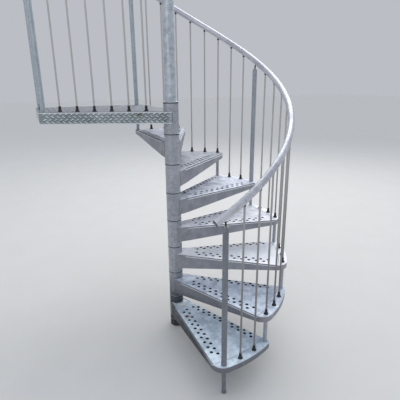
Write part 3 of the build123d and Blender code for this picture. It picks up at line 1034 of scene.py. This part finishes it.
def spacers():
    """Tubes from each tread's rear corner to the next, the leg, and the nuts under the rims."""
    tubes, leg, nuts = shapes(3)
    length = RISE - FLANGE
    for level in LEVELS:
        spot = around(ROD_CIRCLE, level * STEP_ANGLE, level * RISE)
        bar(tubes, SPACER_RADIUS, 0, length, upright(spot), 0.0008, 40)
        for z in (0, length - WASHER_HEIGHT):
            washer(nuts, spot, z)
        nut_under(nuts, spot, SPACER_NUT)
    build("spacer_pipes", tubes, MIDDLE_POST_ZINC, "post_zinc", "spacer_tubes")
    foot = around(ROD_CIRCLE, 0)
    bar(leg, SPACER_RADIUS, 0.004, length, upright(foot), 0.0008, 40)
    bar(leg, LEG_FOOT_RADIUS, 0, 0.005, upright(foot), 0.0012, 40)
    round_bead(leg, foot + UP * 0.006, SPACER_RADIUS, 0.0016)
    build("leg_pipe", leg, POST_ZINC, "post_zinc", "ground_leg")
    washer(nuts, foot, length - WASHER_HEIGHT)
    for spot in [rod_spot(step) for step in rod_steps if step % TREAD_RODS] + guard_spots:
        nut_under(nuts, spot, ROD_NUT)
    for spot in (end_post, wall_post):
        nut_under(nuts, spot + UP * LANDING_Z, POST_NUT)
    build("rim_nuts", nuts, COLLAR_ZINC, "post_zinc")


# Handrail and guard rail

RAIL_STEPS = 200
RAIL_PLUG = (
    (RAIL_RADIUS - 0.0004, -0.0006), (RAIL_RADIUS, 0), (RAIL_RADIUS, 0.0024),
    (RAIL_RADIUS - 0.0006, 0.0034), (RAIL_RADIUS - 0.003, 0.004), (0.004, 0.004),
)


def rails():
    """The helical handrail with its plugs, and the rail of the landing's guard."""
    start = -RAIL_OVERRUN / ROD_CIRCLE
    turn = LANDING_ANGLE - 2 * start
    angles = [start + turn * i / RAIL_STEPS for i in range(RAIL_STEPS + 1)]
    line = [around(ROD_CIRCLE, angle, rail_z(angle)) for angle in angles]
    rail, plugs, guard, rosette = shapes(4)
    tube(rail, line, RAIL_RADIUS, 40)
    build("rail_tube", rail, RAIL_ZINC, "rail_steel", "handrail")
    for end, inside in ((line[0], line[1]), (line[-1], line[-2])):
        turned(plugs, RAIL_PLUG, facing(end, end - inside), 40)
    build("rail_plugs", plugs, BLACK_PLASTIC, "black_plastic", "rail_end_caps")
    wall_end = Vector((WALL_X, wall_post.y, GUARD_RAIL_Z))
    ends = [on_guard_line(GUARD_RAIL_START, GUARD_RAIL_Z), end_post + UP * GUARD_RAIL_Z, wall_end]
    tube(guard, rounded(ends, RAIL_BEND, 20), RAIL_RADIUS, 40)
    build("guard_tube", guard, RAIL_ZINC, "rail_steel", "guard_rail")
    on_wall = facing(wall_end, Vector((1, 0, 0)))
    sleeve(rosette, RAIL_RADIUS - 0.001, ROSETTE_RADIUS, 0, ROSETTE_DEPTH, 0.0015, on_wall, 48)
    build("guard_rosette", rosette, RAIL_ZINC, "rail_steel")


# Landing

CORNER_STEPS = 6
HUB_STEPS = 10
ENTRY_SIDE, END_SIDE, GUARD_SIDE = 0, 2, 3
SKIRT_LAP = 0.012

# Sections of the skirt and of the bands along its edges, painted bright as highlights, as (inset, height)
# pairs
SKIRT_SECTION = (
    (TEAR_HEIGHT, -FLANGE), (TEAR_HEIGHT, 0.0052 - SKIRT_DEPTH), (0.0004, 0.0046 - SKIRT_DEPTH),
    (0.0002, 0.001 - SKIRT_DEPTH), (0.001, -SKIRT_DEPTH), (SHEET, -SKIRT_DEPTH), (SHEET, -FLANGE),
    (TEAR_HEIGHT, -FLANGE),
)
UPPER_BAND = ((0.0002, -FLANGE), (0, -FLANGE - 0.0002), (0, -0.0085), (TEAR_HEIGHT + 0.0002, -0.009))
LOWER_BAND = (
    (TEAR_HEIGHT + 0.0002, 0.0056 - SKIRT_DEPTH), (0, 0.005 - SKIRT_DEPTH), (0, 0.0008 - SKIRT_DEPTH),
)


def landing_outline(inset):
    """Plan of the landing, counter-clockwise from the stair's side, with the hub's round last."""
    (entry, entry_left), (front, front_left) = headings(ENTRY_ANGLE), headings(GUARD_ANGLE)
    entry_start, front_start = entry_left * (inset - HUB_RADIUS), front_left * (HUB_RADIUS - inset)
    wall, end_y = WALL_X + inset, end_post.y - ROD_INSET + inset
    corners = [
        entry_start,
        entry_start + entry * (wall - entry_start.x) / entry.x,
        Vector((wall, end_y)),
        front_start + front * (end_y - front_start.y) / front.y,
        front_start,
    ]
    path = rounded([c.to_3d() for c in corners], LANDING_CORNER - inset, CORNER_STEPS)[1:-1]
    hub = HUB_RADIUS + PLATE_CLEARANCE
    front_hub, entry_hub = on_circle(front_start, front, hub), on_circle(entry_start, entry, hub)
    return [p.to_2d() for p in path] + sweep(AXIS, front_hub, entry_hub, HUB_STEPS)


def skirt_line(inset):
    """The landing's outline without its round at the hub, lapping over the hub at the guard's side."""
    outline = landing_outline(inset)
    *corners, front_hub = outline[:-HUB_STEPS]
    front = headings(GUARD_ANGLE)[0]
    return [outline[-1], *corners, front_hub - front * (SKIRT_LAP + front_hub.dot(front))]


TEAR_LENGTH = 0.0128
TEAR_WIDTH = 0.004
TEAR_PITCH = 0.036
TEAR_ROW = 0.0175
FIRST_TEAR, FIRST_ROW = 0.3, 0.68
TEAR_SLANT = 0.55
TEAR_MARGIN = 0.018
TEAR_HUB_MARGIN = 0.075
TEAR_INSET = 0.02
TEARS_PAST_COLUMN = (0.05, 0.04)
SKIRT_TEAR_MARGIN = 0.013
# Width of the painted shadow line at the skirt's lapped end
SKIRT_END_SHADOW = 0.0026
TEAR_RINGS = ((1.0, -0.0003), (0.72, TEAR_HEIGHT * 0.7), (0.38, TEAR_HEIGHT))
# Painted shadow streaks under the skirt's tears
STREAK_WIDTH = 0.0019
STREAK_DROP = 0.0014
STREAK_PROUD = 0.00015


def tears(shape, corner, along, across, length, width, inside, painted_shade=None):
    """Adds rows of raised slanted tears to a flat face, where inside(point) allows them.

    The face looks towards along x across. The last argument is a shape that gets a painted shadow streak
    under each tear.
    """
    out = along.cross(across)
    for row in range(int(width / TEAR_ROW)):
        slant = TEAR_SLANT if row % 2 else -TEAR_SLANT
        lengthwise = along * cos(slant) + across * sin(slant)
        sideways = out.cross(lengthwise)
        for number in range(int(length / TEAR_PITCH) + 1):
            spot = (
                corner + across * TEAR_ROW * (row + FIRST_ROW)
                + along * TEAR_PITCH * (number + 0.5 * (row % 2) + FIRST_TEAR)
            )
            if not inside(spot):
                continue
            rings = [[
                spot + lengthwise * TEAR_LENGTH * share * cos(turn)
                + sideways * TEAR_WIDTH * share * sin(turn) * abs(sin(turn)) ** 0.3 + out * height
                for turn in turns(8)
            ] for share, height in TEAR_RINGS]
            shape.add_loops(rings)
            shape.add_disc(rings[-1])
            # A painted shadow streak under each tear
            if painted_shade:
                low = spot - across * (TEAR_WIDTH + STREAK_DROP) + out * STREAK_PROUD
                painted_shade.add_disc([
                    low + lengthwise * TEAR_LENGTH * cos(turn) + sideways * STREAK_WIDTH * sin(turn)
                    for turn in turns(12)
                ])


def on_landing(point):
    """Whether a tear here lies clear of the landing's edges and of the hub."""
    spot = point.to_2d()
    beside, behind = (headings(angle)[1].dot(spot) for angle in (GUARD_ANGLE, ENTRY_ANGLE))
    edge = HUB_RADIUS - TEAR_MARGIN
    return beside < edge and behind > -edge and spot.length > TEAR_HUB_MARGIN


def landing_top():
    """The landing's tear plate."""
    top = Shape()
    for inset, z in ((EDGE_ROUND, LANDING_Z), (0, LANDING_Z - FLANGE)):
        add_sheet(top, z, landing_outline(inset))
    follow(top, landing_outline, round_edge(FLANGE), base=LANDING_Z)
    low_x, low_y = map(min, zip(*landing_outline(TEAR_INSET)))
    tears(
        top, Vector((low_x, low_y, LANDING_Z)), Vector((1, 0, 0)), Vector((0, 1, 0)),
        TEARS_PAST_COLUMN[0] - low_x, TEARS_PAST_COLUMN[1] - low_y, on_landing,
    )
    build("landing_top", top, LANDING_TOP_ZINC, "landing_zinc", "landing_plate")


def landing_skirt():
    """The landing's skirt with its tears, painted shadow streaks under them, a painted shadow line at the
    lapped end, and the bands along its edges, painted bright as highlights.
    """
    skirt, marks, painted_shade, highlight_bands = shapes(4)
    skirt.add_strip([lifted(skirt_line(inset), LANDING_Z + z) for inset, z in SKIRT_SECTION])
    line = lifted(skirt_line(TEAR_HEIGHT), LANDING_Z - SKIRT_DEPTH + 0.001)
    for side in (GUARD_SIDE, END_SIDE, ENTRY_SIDE):
        start, end = line[side * (CORNER_STEPS + 1):][:2]
        length = (end - start).length
        along = (end - start).normalized()
        tears(
            marks, start, along, UP, length, SKIRT_DEPTH - 0.008,
            lambda p: SKIRT_TEAR_MARGIN < (p - start).dot(along) < length - SKIRT_TEAR_MARGIN, painted_shade,
        )
    # A near-black line at the lapped end, painted as its shadow
    lap_end = skirt_line(0)[-1]
    end_shadow = [lap_end, lap_end + around(SKIRT_END_SHADOW, GUARD_ANGLE).to_2d()]
    painted_shade.add_loops([lifted(end_shadow, LANDING_Z + z) for z in (-SKIRT_DEPTH, -FLANGE)], closed=False)
    build("landing_skirt", skirt, LANDING_ZINC, "landing_zinc", "landing_frame")
    for section in (UPPER_BAND, LOWER_BAND):
        follow(highlight_bands, skirt_line, section, base=LANDING_Z, closed=False)
    build("skirt_highlight_bands", highlight_bands, LEDGE_HIGHLIGHT_ZINC, "landing_zinc")
    build("skirt_tears", marks, TEAR_WORN_AND_LIT_ZINC, "landing_zinc")
    build("skirt_shadow_streaks", painted_shade, SHADE_AND_GRIME, "landing_zinc")


def wall_nuts():
    """The nuts on the bolts that hold the landing to the wall."""
    bolts = Shape()
    middle_y = (end_post.y - ROD_INSET + HUB_RADIUS) / 2
    z = LANDING_Z - SKIRT_DEPTH / 2
    for side in (-0.5, 0.5):
        spot = Vector((WALL_X + SHEET, middle_y + side * WALL_BOLT_SPACING, z))
        nut(bolts, facing(spot, Vector((1, 0, 0))), WALL_NUT)
    build("wall_nuts", bolts, COLLAR_ZINC, "post_zinc")


column()
for level in LEVELS:
    for part in (tread_plate, tread_frame, tread_rim, tread_welds):
        part(level, tread_place(level))
posts()
rods()
feet("stair_feet", [rod_spot(step) for step in rod_steps], "baluster_feet")
feet("landing_feet", guard_spots, "guard_feet")
spacers()
rails()
landing_top()
landing_skirt()
wall_nuts()


# Stage, lights and camera

FLOOR_REACH = 40.0
FLOOR_DARK, FLOOR_LIGHT = (0.56, 0.55, 0.53), (0.60, 0.59, 0.57)
BACKDROP = (0.497, 0.515, 0.552)
SKY_SIDE = (-0.85, 0.40, 0.35)
SKY_FRONT = (0.30, 0.31, 0.35)
SKY_LOW = (0.45, 0.46, 0.49)
SKY_BACK = (1.50, 1.52, 1.58)
SKY_TOP = (0.80, 0.88, 1.00)
LAMP_TARGET = (0, 0, 1.0)

# The viewpoint that was fitted to the photograph, with its focal length in the picture's pixels
VIEW_PLACE = (2.411608, -0.885831, 1.819629)
VIEW_YAW, VIEW_PITCH, VIEW_ROLL = radians(155.62628), radians(17.440329), radians(0.4837)
FOCAL_PIXELS = 375.33
PICTURE_PIXELS = 400
SENSOR_WIDTH = 36
VIEW_END = 200


def stage_floor():
    """A plain pale floor, far larger than the view."""
    mesh = bpy.data.meshes.new("floor")
    corners = [(x * FLOOR_REACH, y * FLOOR_REACH, 0) for x, y in ((-1, -1), (1, -1), (1, 1), (-1, 1))]
    mesh.from_pydata(corners, [], [(0, 1, 2, 3)])
    material, tree = new_material("floor")
    cloud = speckle(tree, object_place(tree), 3.0, 5.0)
    shade(tree, Base_Color=blend(tree, cloud, FLOOR_DARK, FLOOR_LIGHT), Roughness=0.95)
    mesh.materials.append(material)
    floor = put_in_scene("floor", mesh)


def soft_light(name, place, size, power, colour):
    """A square lamp that faces the stair."""
    data = bpy.data.lights.new(name, "AREA")
    data.energy = power
    data.size = size
    data.color = colour
    put_in_scene(name, data).matrix_world = facing(Vector(place), Vector(place) - Vector(LAMP_TARGET))


def sky():
    """A studio sky, brightest behind the stair. The camera and the metal see a pale backdrop instead."""
    world = bpy.data.worlds.new("studio")
    bpy.context.scene.world = world
    world.use_nodes = True
    tree = world.node_tree
    tree.nodes.clear()
    ray = add_node(tree, "TexCoord").outputs["Generated"]
    behind = computed(tree, "VectorMath", ray, SKY_SIDE, operation="DOT_PRODUCT")
    height = height_of(tree, ray)
    back = blend(tree, spread(tree, height, 0.15, 0.42), SKY_LOW, SKY_BACK)
    sides = blend(tree, spread(tree, behind, -0.5, 0.9), SKY_FRONT, back)
    glow = blend(tree, spread(tree, height, 0.50, 0.85), sides, SKY_TOP)
    path = add_node(tree, "LightPath").outputs
    seen = path["Is Camera Ray"]
    for kind in ("Is Glossy Ray", "Is Transmission Ray"):
        seen = computed(tree, "Math", seen, path[kind], operation="MAXIMUM")
    chosen = add_node(tree, "MixShader", Fac=seen)
    for socket, colour in zip(chosen.inputs[1:], (glow, BACKDROP)):
        connect(tree, add_node(tree, "Background", Color=colour).outputs[0], socket)
    add_node(tree, "OutputWorld", Surface=chosen.outputs[0])


def camera():
    """The photograph's own viewpoint."""
    ahead, left = (v.to_3d() for v in headings(VIEW_YAW))
    forward = ahead * cos(VIEW_PITCH) - UP * sin(VIEW_PITCH)
    down = left.cross(forward)
    right = cos(VIEW_ROLL) * -left + sin(VIEW_ROLL) * down
    below = sin(VIEW_ROLL) * left + cos(VIEW_ROLL) * down
    data = bpy.data.cameras.new("photo_view")
    data.sensor_width = SENSOR_WIDTH
    data.lens = SENSOR_WIDTH * FOCAL_PIXELS / PICTURE_PIXELS
    data.clip_end = VIEW_END
    made = put_in_scene("photo_view", data)
    turn = Matrix((right, -below, -forward)).transposed().to_4x4()
    made.matrix_world = Matrix.Translation(VIEW_PLACE) @ turn
    bpy.context.scene.camera = made


stage_floor()
sky()
soft_light("key", (-3.0, 3.0, 6.0), 6.0, 260, (1.0, 0.99, 0.97))
soft_light("fill", (4.0, -4.0, 4.0), 4.0, 40, (0.96, 0.98, 1.0))
camera()
bpy.context.scene.view_settings.view_transform = "Standard"
